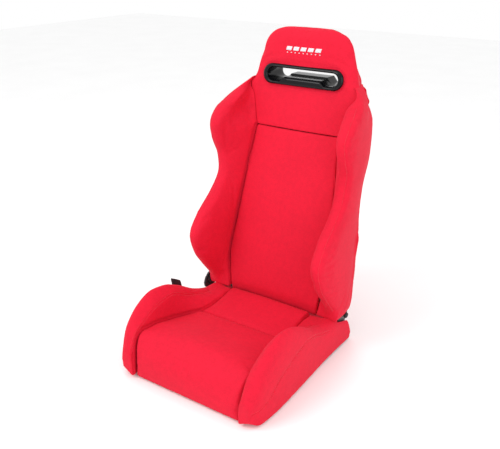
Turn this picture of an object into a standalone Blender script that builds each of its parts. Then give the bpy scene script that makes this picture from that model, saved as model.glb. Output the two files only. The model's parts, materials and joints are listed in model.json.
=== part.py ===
"""Reclining sport bucket seat with an integral headrest, built as separate pieces.

Metres, +Z up. The occupant faces -Y, so the occupant's left is +X. The seat stands on its two side rails,
and z = 0 is their underside. Every piece is drawn in seat coordinates, whose origin is the middle of the
base's footprint; the empty "seat_origin" moves them so that the whole seat is centred on the world origin.
"""

import math

import bmesh
import bpy
import numpy as np
from mathutils import Vector

# Driving dimensions
SEAT_CENTRE_Y = 0.0638  # middle of the whole seat, front to back, in seat coordinates
GAP = 0.0003  # clearance between pieces that touch
RAIL_X = (0.1985, 0.2280)
RAIL_Y = (-0.226, 0.256)
RAIL_HEIGHT = 0.040
RAIL_WALL = 0.003
RAIL_BOLT_Y = (-0.190, 0.200)
RAIL_BOLT_RADIUS = 0.0045
CROSS_TUBE_RADIUS = 0.011
CROSS_TUBE_Z = 0.026
CROSS_TUBE_Y = (-0.205, 0.235)
SEAT_SPRING_X = (-0.126, -0.042, 0.042, 0.126)
SPRING_WIRE_RADIUS = 0.0017
FRAME_SPACE = ((-0.2286, -0.234, -0.02), (0.2286, 0.262, 0.0555))

BASE_FRONT_Y = -0.308
BASE_REAR_Y = 0.283
BASE_UNDERSIDE = 0.004
PANEL_SEAM_Y = -0.008
CUSHION_FRONT_Y = -0.2965
CUSHION_REAR_Y = 0.174
RECLINER_TRENCH_Z = 0.0645
BOLSTER_SEAM_X = 0.204  # seam between a bolster's top and its inner flank
CREST_INSET = 0.026  # the bolster's highest line lies this far inside its bulge

RECLINE_Y = 0.240
RECLINE_Z = 0.110
PAWL_OFFSET = 0.062  # recline axis to pawl shaft
PAWL_ANGLE = 215.0
PAWL_SHAFT_RADIUS = 0.005
PLATE = 0.004
BASE_PLATE_X = 0.2283
SECTOR_X = BASE_PLATE_X + PLATE + GAP
SECTOR_RADIUS = 0.0330
TOOTH_HEIGHT = 0.0025
TOOTH_PITCH = 6.5
TOOTH_ARC = (150.0, 293.0)
PIVOT_RADIUS = 0.005
PIVOT_HOLE = 0.0053
HEAD_X = SECTOR_X + PLATE + GAP
HEAD_HIGH = 0.0058  # how far the pivot bolt's head stands out
POCKET_X = 0.2440
POCKET_REAR_Y = 0.2775

FACE_SLOPE = 0.2535  # how far the back's face moves rearwards for each metre up
FACE_FOOT_Y = 0.1347  # where the sloping face would meet z = 0
HEAD_BEND_Z = 0.700  # above this the face turns towards vertical
PAD_DEPTH = 0.045  # foam in front of the back frame
COVER_DEPTH = 0.012
WING_BOTTOM = 0.134
COVER_BOTTOM = 0.142
INSERT_BOTTOM = 0.108
INSERT_TOP = 0.6825
WING_TOP = 0.800
BACK_TOP = 0.996
UPRIGHT_RADIUS = 0.0095
UPRIGHT_BACK = 0.0575

SLOT_Z = 0.8505
SLOT_TILT = 9.0  # lean of the slot's flanges with the headrest's face, while the slot itself runs level
BEZEL_HALF = (0.146, 0.0325)
TUNNEL_HALF = (0.1275, 0.0205)
TUNNEL_WALL = 0.0022
SILL_HALF = (0.066, 0.082)  # the slot's raised middle sill, along its top and its foot
SILL_RISE = 0.004


def smooth_curve(*keys):
    """A smooth function through (position, value) pairs, level beyond the ends, with no overshoot."""
    at = np.array([key[0] for key in keys], float)
    value = np.array([key[1] for key in keys], float)
    rise = np.diff(value) / np.diff(at)
    before, after = rise[:-1], rise[1:]
    same_way = before * after > 0
    inner = np.where(same_way, 2 * before * after / np.where(same_way, before + after, 1.0), 0.0)
    slope = np.concatenate([rise[:1], inner, rise[-1:]])

    def curve(t):
        t = min(max(t, at[0]), at[-1])
        i = min(int(np.searchsorted(at, t, side="right")) - 1, len(at) - 2)
        span = at[i + 1] - at[i]
        u = (t - at[i]) / span
        level = value[i] * (1 + 2 * u) * (1 - u) ** 2 + value[i + 1] * u * u * (3 - 2 * u)
        lean = slope[i] * u * (1 - u) ** 2 - slope[i + 1] * u * u * (1 - u)
        return float(level + lean * span)

    return curve


# The backrest, by height
def face_y(z):
    """The front face of the back's centre: a slope that bends towards vertical behind the head."""
    straight = FACE_FOOT_Y + FACE_SLOPE * min(z, HEAD_BEND_Z)
    over = max(z - HEAD_BEND_Z, 0.0)
    return straight + FACE_SLOPE * over - 0.36 * over * over


insert_curl = smooth_curve((0.108, 0.1800), (0.122, 0.1752), (0.136, 0.1730), (0.150, 0.1727))
insert_half = smooth_curve((0.108, 0.172), (0.15, 0.176), (0.25, 0.190), (0.42, 0.179), (0.56, 0.167),
                           (0.69, 0.155))
yoke_half = smooth_curve((0.69, 0.155), (0.73, 0.168), (0.775, 0.179), (0.81, 0.197), (0.85, 0.171),
                         (0.88, 0.156), (0.91, 0.144), (0.95, 0.134), (0.975, 0.118), (0.99, 0.096),
                         (0.996, 0.076))
wing_half = smooth_curve((0.134, 0.2560), (0.15, 0.2590), (0.25, 0.2600), (0.40, 0.2560), (0.53, 0.2480),
                         (0.64, 0.2540), (0.72, 0.2500), (0.765, 0.2400), (0.80, 0.2120))
wing_rear_half = smooth_curve((0.15, 0.2560), (0.25, 0.2450), (0.40, 0.2330), (0.52, 0.2270),
                              (0.62, 0.2340), (0.72, 0.2280), (0.765, 0.2210), (0.80, 0.2040))
wing_reach = smooth_curve((0.134, 0.006), (0.15, 0.016), (0.165, 0.030), (0.22, 0.088), (0.28, 0.146),
                          (0.355, 0.183), (0.41, 0.160), (0.47, 0.104), (0.53, 0.074), (0.59, 0.085),
                          (0.65, 0.124), (0.70, 0.143), (0.735, 0.126), (0.765, 0.070), (0.785, 0.024),
                          (0.80, 0.012))
notch_half = smooth_curve((0.15, 0.2412), (0.28, 0.2412), (0.345, 0.2412), (0.42, 0.2190), (0.52, 0.2120),
                          (0.62, 0.2150), (0.72, 0.2090), (0.765, 0.2020), (0.80, 0.1860))
head_flare = smooth_curve((0.812, 0.0), (0.840, 0.008), (0.90, 0.014), (0.975, 0.012), (0.996, 0.008))
back_depth = smooth_curve((0.15, 0.105), (0.40, 0.100), (0.70, 0.095), (0.82, 0.085), (0.93, 0.080),
                          (0.975, 0.066), (0.996, 0.030))
upright_x = smooth_curve((0.165, 0.2215), (0.24, 0.2215), (0.31, 0.2215), (0.40, 0.2020), (0.60, 0.1940),
                         (0.74, 0.1800), (0.81, 0.1425), (0.835, 0.1408), (0.862, 0.1398), (0.895, 0.1080),
                         (0.935, 0.0800))

# The base, from front to rear
bolster_crest = smooth_curve((-0.308, 0.086), (-0.290, 0.130), (-0.262, 0.178), (-0.215, 0.214),
                             (-0.155, 0.234), (-0.105, 0.228), (-0.045, 0.204), (0.045, 0.148),
                             (0.120, 0.117), (0.213, 0.104), (0.262, 0.090), (0.283, 0.040))
bolster_seam = smooth_curve((-0.308, 0.076), (-0.279, 0.136), (-0.227, 0.173), (-0.165, 0.197),
                            (-0.110, 0.202), (-0.068, 0.189), (-0.018, 0.163), (0.060, 0.134),
                            (0.130, 0.114), (0.262, 0.088), (0.283, 0.036))
bolster_bulge = smooth_curve((-0.308, 0.240), (-0.270, 0.256), (-0.180, 0.2630), (-0.050, 0.2600),
                             (0.100, 0.2530), (0.283, 0.2500))
crease_half = smooth_curve((-0.300, 0.196), (-0.262, 0.206), (-0.216, 0.200), (-0.122, 0.198),
                           (-0.046, 0.180), (0.000, 0.161), (0.060, 0.155), (0.283, 0.153))
cushion_top = smooth_curve((-0.2965, 0.060), (-0.290, 0.104), (-0.272, 0.132), (-0.245, 0.146),
                           (-0.200, 0.144), (-0.122, 0.127), (-0.050, 0.116), (0.000, 0.1135),
                           (0.060, 0.117), (0.105, 0.118), (0.135, 0.1165), (0.150, 0.1125),
                           (0.158, 0.102), (0.1605, 0.088), (0.168, 0.0655), (0.262, 0.0640),
                           (0.275, 0.050))


def clear_scene():
    for obj in list(bpy.data.objects):
        bpy.data.objects.remove(obj, do_unlink=True)


def material(name, colour, roughness, metallic=0.0):
    made = bpy.data.materials.new(name)
    made.use_nodes = True
    shader = made.node_tree.nodes["Principled BSDF"]
    shader.inputs["Base Color"].default_value = (*colour, 1.0)
    shader.inputs["Roughness"].default_value = roughness
    shader.inputs["Metallic"].default_value = metallic
    return made


def empty(name, place, parent=None):
    made = bpy.data.objects.new(name, None)
    made.location = place
    made.parent = parent
    bpy.context.collection.objects.link(made)
    return made


def place(obj, finish, axis):
    """Hangs an object on an axis empty, whose own location its points are counted from."""
    obj.data.materials.append(finish)
    obj.parent = axis
    bpy.context.collection.objects.link(obj)
    return obj


def axis_origin(axis):
    return Vector((0, 0, 0)) if axis.parent is None else axis.location.copy()


def mesh_node(name, bm, finish, axis, smooth_angle=40):
    bmesh.ops.recalc_face_normals(bm, faces=bm.faces)
    bmesh.ops.translate(bm, verts=bm.verts, vec=-axis_origin(axis))
    mesh = bpy.data.meshes.new(name)
    bm.to_mesh(mesh)
    bm.free()
    mesh.shade_smooth()
    mesh.set_sharp_from_angle(angle=math.radians(smooth_angle))
    return place(bpy.data.objects.new(name, mesh), finish, axis)


def wire_node(name, points, radius, finish, axis, resolution=1):
    """A round bar or tube, solid, along a smooth line of points."""
    curve = bpy.data.curves.new(name, "CURVE")
    curve.dimensions = "3D"
    curve.bevel_depth = radius
    curve.bevel_resolution = resolution
    curve.use_fill_caps = True
    spline = curve.splines.new("POLY")
    spline.points.add(len(points) - 1)
    origin = axis_origin(axis)
    for knot, point in zip(spline.points, points):
        knot.co = (*(Vector(point) - origin), 1.0)
    return place(bpy.data.objects.new(name, curve), finish, axis)


def loft(loops):
    """A closed skin through loops of equal length, capped at both ends."""
    bm = bmesh.new()
    rings = [[bm.verts.new(point) for point in loop] for loop in loops]
    count = len(rings[0])
    for low, high in zip(rings, rings[1:]):
        for i in range(count):
            j = (i + 1) % count
            bm.faces.new((low[i], low[j], high[j], high[i]))
    bm.faces.new(rings[0])
    bm.faces.new(rings[-1])
    return bm


def loop_ring(loops):
    """A closed skin through loops, where the last joins the first: a ring with a hole."""
    bm = bmesh.new()
    rings = [[bm.verts.new(point) for point in loop] for loop in loops]
    count = len(rings[0])
    for low, high in zip(rings, rings[1:] + rings[:1]):
        for i in range(count):
            j = (i + 1) % count
            bm.faces.new((low[i], low[j], high[j], high[i]))
    return bm


def plate(outline, x_from, x_to):
    """A flat plate across X, from its outline in (y, z)."""
    return loft([[(x, y, z) for y, z in outline] for x in (x_from, x_to)])


def box(low, high):
    (x0, y0, z0), (x1, y1, z1) = low, high
    return loft([[(x0, y0, z), (x1, y0, z), (x1, y1, z), (x0, y1, z)] for z in (z0, z1)])


def arc(centre, radius, start, end, steps):
    """Points (y, z) on an arc, with angles in degrees from +Y towards +Z."""
    return [(centre[0] + radius * math.cos(math.radians(a)), centre[1] + radius * math.sin(math.radians(a)))
            for a in np.linspace(start, end, steps)]


def turned(profile, y, z, side, sides=20):
    """A piece turned about a line along X; its profile is (distance from the middle plane, radius)."""
    return loft([[(side * x, *point) for point in arc((y, z), radius, 0, 360 - 360 / sides, sides)]
                 for x, radius in profile])


def cutter(name, bm, axis):
    bmesh.ops.recalc_face_normals(bm, faces=bm.faces)
    bmesh.ops.translate(bm, verts=bm.verts, vec=-axis_origin(axis))
    mesh = bpy.data.meshes.new(name)
    bm.to_mesh(mesh)
    bm.free()
    made = bpy.data.objects.new(name, mesh)
    made.parent = axis
    made.hide_render = True
    made.display_type = "WIRE"
    bpy.context.collection.objects.link(made)
    return made


def cut(obj, *tools):
    for tool in tools:
        change = obj.modifiers.new(tool.name, "BOOLEAN")
        change.operation = "DIFFERENCE"
        change.solver = "EXACT"
        change.object = tool
    return obj


def mirrored(points, side):
    return [(side * x, y, z) for x, y, z in points]


def sided(side):
    return "left" if side > 0 else "right"


# Base structure
def make_rail(side, steel, base):
    inner, outer = RAIL_X
    wall, top = RAIL_WALL, RAIL_HEIGHT
    section = [(inner, 0), (outer, 0), (outer, top), (inner, top), (inner, top - wall),
               (outer - wall, top - wall), (outer - wall, wall), (inner, wall)]
    rail = mesh_node(f"side_rail_{sided(side)}",
                     loft([mirrored([(x, y, z) for x, z in section], side) for y in RAIL_Y]), steel, base)
    middle = (inner + outer - wall) / 2
    for number, y in enumerate(RAIL_BOLT_Y):
        hole = [(side * middle + RAIL_BOLT_RADIUS * math.cos(a), y + RAIL_BOLT_RADIUS * math.sin(a))
                for a in np.linspace(0, 2 * math.pi, 16, endpoint=False)]
        drill = cutter(f"cut_rail_{sided(side)}_{number}",
                       loft([[(x, hy, z) for x, hy in hole] for z in (-0.01, 2 * wall)]), base)
        cut(rail, drill)


def make_cross_tube(name, y, steel, base):
    reach = RAIL_X[1] - RAIL_WALL - GAP
    wire_node(name, [(x, y, CROSS_TUBE_Z) for x in (-reach, reach)], CROSS_TUBE_RADIUS, steel, base, 3)


def make_seat_spring(number, x, steel, base):
    """A zigzag spring with rounded bends, laid from the front cross tube to the rear one."""
    z = CROSS_TUBE_Z + CROSS_TUBE_RADIUS + SPRING_WIRE_RADIUS + GAP
    front, rear = CROSS_TUBE_Y
    bends = 8
    points = []
    for step in range(bends * 6 + 1):
        turn = step / 6
        sway = math.sin(math.pi * turn)
        wide = math.copysign(abs(sway) ** 0.6, sway) * 0.024
        points.append((x + wide, front + (rear - front) * step / (bends * 6), z))
    wire_node(f"seat_spring_{number}", points, SPRING_WIRE_RADIUS, steel, base, 0)


# Base upholstery
def bolster_section(y, side):
    """Half of the base's outline at y: underside, bulging side, crest, and inner flank to the crease."""
    crest, seam, bulge = bolster_crest(y), bolster_seam(y), bolster_bulge(y)
    crease = crease_half(y) + 2 * GAP
    valley = min(cushion_top(y), seam - 0.012)
    foot = bulge - 0.005
    top = max(crest, BASE_UNDERSIDE + 0.03)
    crest_x = bulge - CREST_INSET
    points = [(crease, BASE_UNDERSIDE), (foot, BASE_UNDERSIDE), (foot + 0.55 * (bulge - foot), 0.35 * top),
              (bulge, 0.58 * top), (bulge - 0.003, 0.80 * top), (bulge - 0.012, 0.93 * top), (crest_x, top),
              (0.5 * (crest_x + BOLSTER_SEAM_X) - 0.002, seam + 0.6 * (top - seam)), (BOLSTER_SEAM_X, seam),
              (crease + 0.35 * (BOLSTER_SEAM_X - crease), valley + 0.45 * (seam - valley)), (crease, valley)]
    return mirrored([(x, y, z) for x, z in points], side)


def base_rows(start, end):
    """Where the base's pieces have their cross sections, so that neighbours share the same outline."""
    rows = [BASE_FRONT_Y, -0.302, CUSHION_FRONT_Y, -0.290, -0.280, -0.268]
    rows += list(np.linspace(-0.245, -0.038, 8))
    rows += [PANEL_SEAM_Y - GAP, PANEL_SEAM_Y + GAP] + list(np.linspace(0.022, 0.140, 5))
    rows += [0.150, 0.155, 0.159, 0.163, 0.168, CUSHION_REAR_Y, 0.200, 0.231, 0.262, 0.275, BASE_REAR_Y]
    return [y for y in rows if start <= y <= end]


def make_bolster(side, fabric, base, tools):
    skin = loft([bolster_section(y, side) for y in base_rows(BASE_FRONT_Y, BASE_REAR_Y)])
    bolster = mesh_node(f"thigh_bolster_{sided(side)}", skin, fabric, base)
    low, high = (0.10, CUSHION_REAR_Y - 0.002, RECLINER_TRENCH_Z), (POCKET_X, POCKET_REAR_Y, 0.30)
    trench = cutter(f"cut_trench_{sided(side)}", box(*ordered(mirror_box(low, high, side))), base)
    low, high = (0.2200, 0.095, -0.02), (POCKET_X, POCKET_REAR_Y, 0.30)
    pocket = cutter(f"cut_pocket_{sided(side)}", box(*ordered(mirror_box(low, high, side))), base)
    cut(bolster, *tools, trench, pocket)


def mirror_box(low, high, side):
    return (side * low[0], *low[1:]), (side * high[0], *high[1:])


def ordered(corners):
    """The lowest and the highest corner of a box."""
    return tuple(map(min, *corners)), tuple(map(max, *corners))


def cushion_section(y, crown):
    """The centre cushion's outline at y, crowned across, as wide as the bolsters leave it."""
    half = crease_half(y) - GAP
    top = cushion_top(y)
    upper = [(x, y, top + crown * (1 - (x / half) ** 2)) for x in np.linspace(half, -half, 7)]
    return [(-half, y, BASE_UNDERSIDE), (half, y, BASE_UNDERSIDE)] + upper


def make_cushion(name, start, end, crown, fabric, base, tools):
    skin = loft([cushion_section(y, crown) for y in base_rows(start, end)])
    cut(mesh_node(name, skin, fabric, base), *tools)


def make_tag(fabric, base):
    """A small folded label, sewn into the outer seam on top of the right bolster."""
    y0, y1 = -0.049, -0.003
    rows = []
    for y in np.linspace(y0, y1, 5):
        top = bolster_crest(y) + 0.0012
        x = CREST_INSET - bolster_bulge(y)
        rows.append([(x, y, top), (x - 0.011, y, top - 0.0038), (x - 0.011, y, top - 0.0023),
                     (x, y, top + 0.0015)])
    mesh_node("side_tag", loft(rows), fabric, base)


# Recliner
def pawl_centre():
    angle = math.radians(PAWL_ANGLE)
    return RECLINE_Y + PAWL_OFFSET * math.cos(angle), RECLINE_Z + PAWL_OFFSET * math.sin(angle)


def drilled(obj, y, z, radius, side, axis, tag):
    bore = cutter(f"cut_{obj.name}_{tag}", turned([(0.15, radius), (0.30, radius)], y, z, side, 16), axis)
    return cut(obj, bore)


def make_base_plate(side, steel, base):
    hinge = (RECLINE_Y, RECLINE_Z)
    outline = [(0.110, 0.006), (0.262, 0.006), (0.268, 0.060)] + arc(hinge, 0.027, -20, 160, 10)
    outline += [(0.185, 0.092), (0.172, 0.086), (0.150, 0.050), (0.110, 0.036)]
    made = mesh_node(f"recliner_base_plate_{sided(side)}",
                     plate(outline, side * BASE_PLATE_X, side * (BASE_PLATE_X + PLATE)), steel, base)
    drilled(made, RECLINE_Y, RECLINE_Z, PIVOT_HOLE, side, base, "pivot")
    drilled(made, *pawl_centre(), PAWL_SHAFT_RADIUS + 0.0004, side, base, "shaft")


def make_bracket_bolt(side, number, y, steel, base):
    """A bolt head that holds the base plate to the rail's outer side."""
    face = BASE_PLATE_X + PLATE + GAP
    profile = [(face, 0.0085), (face + 0.0012, 0.0085), (face + 0.0013, 0.0062), (face + 0.0048, 0.0062),
               (face + 0.0056, 0.0050)]
    mesh_node(f"bracket_bolt_{sided(side)}_{number}", turned(profile, y, 0.021, side, 12), steel, base)


def make_sector_arm(side, steel, back):
    """The moving recliner plate: ratchet teeth round the hinge, and an arm up into the back."""
    hinge = (RECLINE_Y, RECLINE_Z)
    top = (face_y(0.32) + 0.065, 0.32)
    lean = math.degrees(math.atan2(top[1] - hinge[1], top[0] - hinge[0]))
    half = 0.015
    along = Vector((math.cos(math.radians(lean)), math.sin(math.radians(lean))))
    across = Vector((-along.y, along.x))
    start = Vector(hinge) + along * SECTOR_RADIUS
    end = Vector(top)
    outline = [tuple(start - across * half), tuple(end - across * half)]
    outline += arc(tuple(end), half, lean - 90, lean + 90, 7)[1:-1]
    outline += [tuple(end + across * half), tuple(start + across * half)]
    tooth_start, tooth_end = TOOTH_ARC
    for a in np.arange(tooth_start, tooth_end, TOOTH_PITCH):
        outline += arc(hinge, SECTOR_RADIUS, a, a + 0.1, 1)
        outline += arc(hinge, SECTOR_RADIUS + TOOTH_HEIGHT, a + 0.55 * TOOTH_PITCH, 0, 1)
    outline += arc(hinge, SECTOR_RADIUS, tooth_end + TOOTH_PITCH, 380, 6)
    made = mesh_node(f"sector_arm_{sided(side)}", plate(outline, side * SECTOR_X, side * (SECTOR_X + PLATE)),
                     steel, back)
    drilled(made, RECLINE_Y, RECLINE_Z, PIVOT_HOLE, side, back, "pivot")


def make_pivot(side, steel, base):
    bolt = [(0.2090, 0.0040), (0.2100, PIVOT_RADIUS), (HEAD_X, PIVOT_RADIUS), (HEAD_X + 0.0001, 0.0095),
            (HEAD_X + 0.0045, 0.0095), (HEAD_X + HEAD_HIGH, 0.0078)]
    mesh_node(f"pivot_bolt_{sided(side)}", turned(bolt, RECLINE_Y, RECLINE_Z, side), steel, base)
    nut_x = (BASE_PLATE_X - GAP - 0.0075, BASE_PLATE_X - GAP)
    hinge = (RECLINE_Y, RECLINE_Z)
    bore = arc(hinge, PIVOT_HOLE, 0, 345, 24)
    flats = [(RECLINE_Y + (y - RECLINE_Y) * hex_scale(i), RECLINE_Z + (z - RECLINE_Z) * hex_scale(i))
             for i, (y, z) in enumerate(arc(hinge, 0.0095, 0, 345, 24))]
    loops = [[(side * nut_x[0], *p) for p in flats], [(side * nut_x[1], *p) for p in flats],
             [(side * nut_x[1], *p) for p in bore], [(side * nut_x[0], *p) for p in bore]]
    mesh_node(f"pivot_nut_{sided(side)}", loop_ring(loops), steel, base)


def hex_scale(step, steps_per_side=4):
    """How far a point of a circle moves in, to lie on a hexagon's side."""
    within = math.radians(60 * (step % steps_per_side) / steps_per_side - 30)
    return math.cos(math.radians(30)) / math.cos(within)


def make_spiral_spring(side, steel, base):
    """The flat spring that tips the back forwards: strip steel wound round the pivot bolt."""
    turns, inner, outer, strip = 2.6, 0.0075, 0.0240, 0.0014
    edge_in, edge_out = [], []
    for t in np.linspace(0, 1, 44):
        angle = 2 * math.pi * turns * t
        radius = inner + (outer - inner) * t
        for edge, reach in ((edge_in, radius), (edge_out, radius + strip)):
            edge.append((RECLINE_Y + reach * math.cos(angle), RECLINE_Z + reach * math.sin(angle)))
    sections = [[(side * 0.2120, *a), (side * 0.2170, *a), (side * 0.2170, *b), (side * 0.2120, *b)]
                for a, b in zip(edge_in, edge_out)]
    mesh_node(f"return_spring_{sided(side)}", loft(sections), steel, base)


def make_pawl(side, steel, shaft):
    """A ratchet tooth on the cross shaft, whose nose stands just clear of the sector's teeth."""
    centre = pawl_centre()
    aim = PAWL_ANGLE - 180
    nose = PAWL_OFFSET - SECTOR_RADIUS - TOOTH_HEIGHT - 0.0012
    outline = arc(centre, 0.0095, aim + 40, aim + 320, 10)
    outline += arc(centre, nose, aim - 9, aim + 9, 2)
    blank = plate(outline, side * SECTOR_X, side * (SECTOR_X + PLATE))
    made = mesh_node(f"pawl_{sided(side)}", blank, steel, shaft)
    drilled(made, *centre, PAWL_SHAFT_RADIUS + GAP, side, shaft, "shaft")


def make_pawl_shaft(steel, shaft):
    y, z = pawl_centre()
    reach = SECTOR_X + PLATE
    wire_node("pawl_shaft", [(x, y, z) for x in (-reach, reach)], PAWL_SHAFT_RADIUS, steel, shaft, 2)


def make_release_lever(steel, plastic, lever):
    """The occupant's right-hand lever: a hub on the pivot, a neck outwards, and an arm under the grip."""
    hinge = (RECLINE_Y, RECLINE_Z)
    side = -1
    hub_x = HEAD_X + HEAD_HIGH + GAP
    arm_x = (0.2610, 0.2640)
    hub = mesh_node("release_lever", turned([(hub_x, 0.0150), (arm_x[0] + 0.001, 0.0150)], *hinge, side, 20),
                    steel, lever)
    arm_outline = arc(hinge, 0.0150, -110, 70, 9)
    arm_outline += [(0.205, 0.138), (0.172, 0.140), (0.160, 0.126), (0.172, 0.106)]
    arm = cutter("join_arm", plate(arm_outline, side * arm_x[0], side * arm_x[1]), lever)
    joint = hub.modifiers.new("join_arm", "BOOLEAN")
    joint.operation = "UNION"
    joint.solver = "EXACT"
    joint.object = arm
    grip = [(0.1900, 0.1540), (0.1680, 0.1500), (0.1520, 0.1360), (0.1440, 0.1180), (0.1480, 0.1020),
            (0.1640, 0.0960), (0.1900, 0.0930), (0.2060, 0.1000), (0.2140, 0.1180), (0.2100, 0.1440)]
    low, high = arm_x[1] + GAP, arm_x[1] + GAP + 0.0075
    middle = (sum(y for y, _ in grip) / len(grip), sum(z for _, z in grip) / len(grip))
    inset = [(middle[0] + 0.92 * (y - middle[0]), middle[1] + 0.92 * (z - middle[1])) for y, z in grip]
    loops = [[(side * low, *p) for p in grip], [(side * (high - 0.002), *p) for p in grip],
             [(side * high, *p) for p in inset]]
    mesh_node("lever_grip", loft(loops), plastic, lever)


def make_pivot_cap(plastic, base):
    """The knob that covers the pivot bolt on the occupant's left."""
    start = HEAD_X + HEAD_HIGH + GAP
    profile = [(start, 0.0090), (start + 0.007, 0.0095), (start + 0.0095, 0.0080), (start + 0.0105, 0.0050)]
    mesh_node("pivot_cap", turned(profile, RECLINE_Y, RECLINE_Z, 1), plastic, base)


# Backrest
def back_rows(start, end):
    """Where the back's pieces have their cross sections, so that neighbours share the same outline."""
    rows = [INSERT_BOTTOM, 0.114, 0.122, WING_BOTTOM, COVER_BOTTOM, 0.150, 0.156, 0.165]
    rows += list(np.linspace(0.190, 0.660, 15))
    rows += [INSERT_TOP, INSERT_TOP + GAP, 0.702, 0.722, 0.742, 0.762, 0.782, WING_TOP]
    rows += [WING_TOP + 0.004, 0.818, 0.83, 0.86, 0.89, 0.92, 0.955, 0.97, 0.984, 0.992, BACK_TOP]
    return [z for z in rows if start <= z <= end]


def wing_section(z, side):
    """A wing at height z: crease, inner flank, rounded lip, outer side, rear corner, room for the frame."""
    face, depth, reach = face_y(z), back_depth(z), wing_reach(z)
    half, rear_half, notch = wing_half(z), wing_rear_half(z), notch_half(z)
    inner = insert_half(z) if z < 0.69 else yoke_half(z)
    inner += 2 * GAP
    lip_wide = min(0.025, 0.45 * (half - inner))
    lip_deep = min(0.025, 0.8 * reach)
    centre = (half - lip_wide, face - reach + lip_deep)
    lip = [(centre[0] + lip_wide * math.cos(a), centre[1] - lip_deep * math.sin(a))
           for a in np.linspace(math.pi, 0, 7)]
    rear = face + depth
    corner = min(0.018, 0.8 * (rear_half - notch))
    points = [(inner, face + PAD_DEPTH), (inner, face)] + lip
    points += [(0.5 * (half + rear_half), 0.5 * (centre[1] + rear)), (rear_half, rear - 0.018),
               (rear_half - 0.3 * corner, rear - 0.005), (rear_half - corner, rear), (notch, rear),
               (notch, face + PAD_DEPTH)]
    return mirrored([(x, y, z) for x, y in points], side)


def make_wing(side, fabric, back):
    skin = loft([wing_section(z, side) for z in back_rows(WING_BOTTOM, WING_TOP)])
    mesh_node(f"back_wing_{sided(side)}", skin, fabric, back)


def make_insert(fabric, back):
    """The centre panel of the back, crowned across, with its lower end curled in round the recline axis."""
    loops = []
    for z in back_rows(INSERT_BOTTOM, INSERT_TOP):
        half = insert_half(z) - GAP
        front = max(face_y(z), insert_curl(z))
        loops.append([(half, face_y(z) + PAD_DEPTH, z), (-half, face_y(z) + PAD_DEPTH, z)]
                     + [(x, front - 0.005 * (1 - (x / half) ** 2), z) for x in np.linspace(-half, half, 7)])
    mesh_node("back_insert", loft(loops), fabric, back)


def head_section(z):
    """The yoke and headrest at height z: full depth, rounded at its side corners."""
    half, front, depth = yoke_half(z) - GAP, face_y(z), back_depth(z)
    round_off = 0.016 if z > WING_TOP else 0.0
    crown = 0.008 if z > WING_TOP else 0.004
    flare = head_flare(z)
    corner = [(half + flare - round_off, 0.0), (half + flare - 0.3 * round_off, 0.3 * round_off),
              (half + flare, round_off + 0.001)]
    rear = [(half, depth - round_off - 0.001), (half - 0.3 * round_off, depth - 0.3 * round_off),
            (half - round_off - 0.001, depth)]
    side = [(x, front + y, z) for x, y in corner + rear]
    middle = [(x, front - crown * (1 - (x / half) ** 2), z) for x in np.linspace(-0.8 * half, 0.8 * half, 5)]
    return middle + side + [(-x, y, height) for x, y, height in reversed(side)]


def make_headrest(fabric, back, slot):
    pad = mesh_node("headrest_pad", loft([head_section(z) for z in back_rows(INSERT_TOP + GAP, BACK_TOP)]),
                    fabric, back)
    lower = cutter("cut_yoke_rear", loft([[(x, face_y(z) + dy, z) for x, dy in
                                           ((-0.25, PAD_DEPTH), (0.25, PAD_DEPTH), (0.25, 0.2), (-0.25, 0.2))]
                                          for z in (0.66, 0.72, 0.77, WING_TOP + 0.0035)]), back)
    upper = cutter("cut_head_rear", loft([[(x * head_wall(z), face_y(z) + dy, z) for x, dy in
                                           ((-1, PAD_DEPTH), (1, PAD_DEPTH), (1, 0.2), (-1, 0.2))]
                                          for z in [0.79] + back_rows(0.804, 0.955) + [0.9556]]), back)
    cut(pad, lower, upper, *slot)


def head_wall(z):
    """Half-width of the hollow behind the headrest's foam."""
    return yoke_half(max(z, WING_TOP + 0.01)) - 0.0135


def make_rear_cover(fabric, back, slot):
    """The padded panel that closes the back between its wings, as high as the headrest."""
    loops = []
    for z in back_rows(COVER_BOTTOM, 0.955):
        half = (notch_half(z) if z <= WING_TOP else head_wall(z)) - 0.0008
        rear = face_y(z) + back_depth(z)
        fore = rear - COVER_DEPTH
        loops.append([(-half, fore, z), (half, fore, z), (half, rear, z), (-half, rear, z)])
    cut(mesh_node("rear_cover", loft(loops), fabric, back), *slot)


def make_upright(side, steel, back):
    heights = list(np.linspace(0.170, 0.800, 18)) + list(np.linspace(0.820, 0.924, 10))
    points = [(side * upright_x(z), face_y(z) + UPRIGHT_BACK, z) for z in heights]
    wire_node(f"back_upright_{sided(side)}", points, UPRIGHT_RADIUS, steel, back, 2)


def make_back_bar(name, z, steel, back, radius=0.008):
    nearest = min(upright_x(z - 2 * radius), upright_x(z + 2 * radius))
    reach = nearest - UPRIGHT_RADIUS - 0.001
    wire_node(name, [(x, face_y(z) + UPRIGHT_BACK, z) for x in (-reach, reach)], radius, steel, back, 2)


def make_back_spring(number, z, steel, back):
    reach = upright_x(z) - UPRIGHT_RADIUS - SPRING_WIRE_RADIUS - 0.001
    bends = 7
    points = []
    for step in range(bends * 6 + 1):
        turn = step / 6
        sway = math.sin(math.pi * turn)
        height = z + math.copysign(abs(sway) ** 0.6, sway) * 0.020
        points.append((-reach + 2 * reach * step / (bends * 6), face_y(height) + PAD_DEPTH + 0.0032, height))
    wire_node(f"back_spring_{number}", points, SPRING_WIRE_RADIUS, steel, back, 0)


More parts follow.
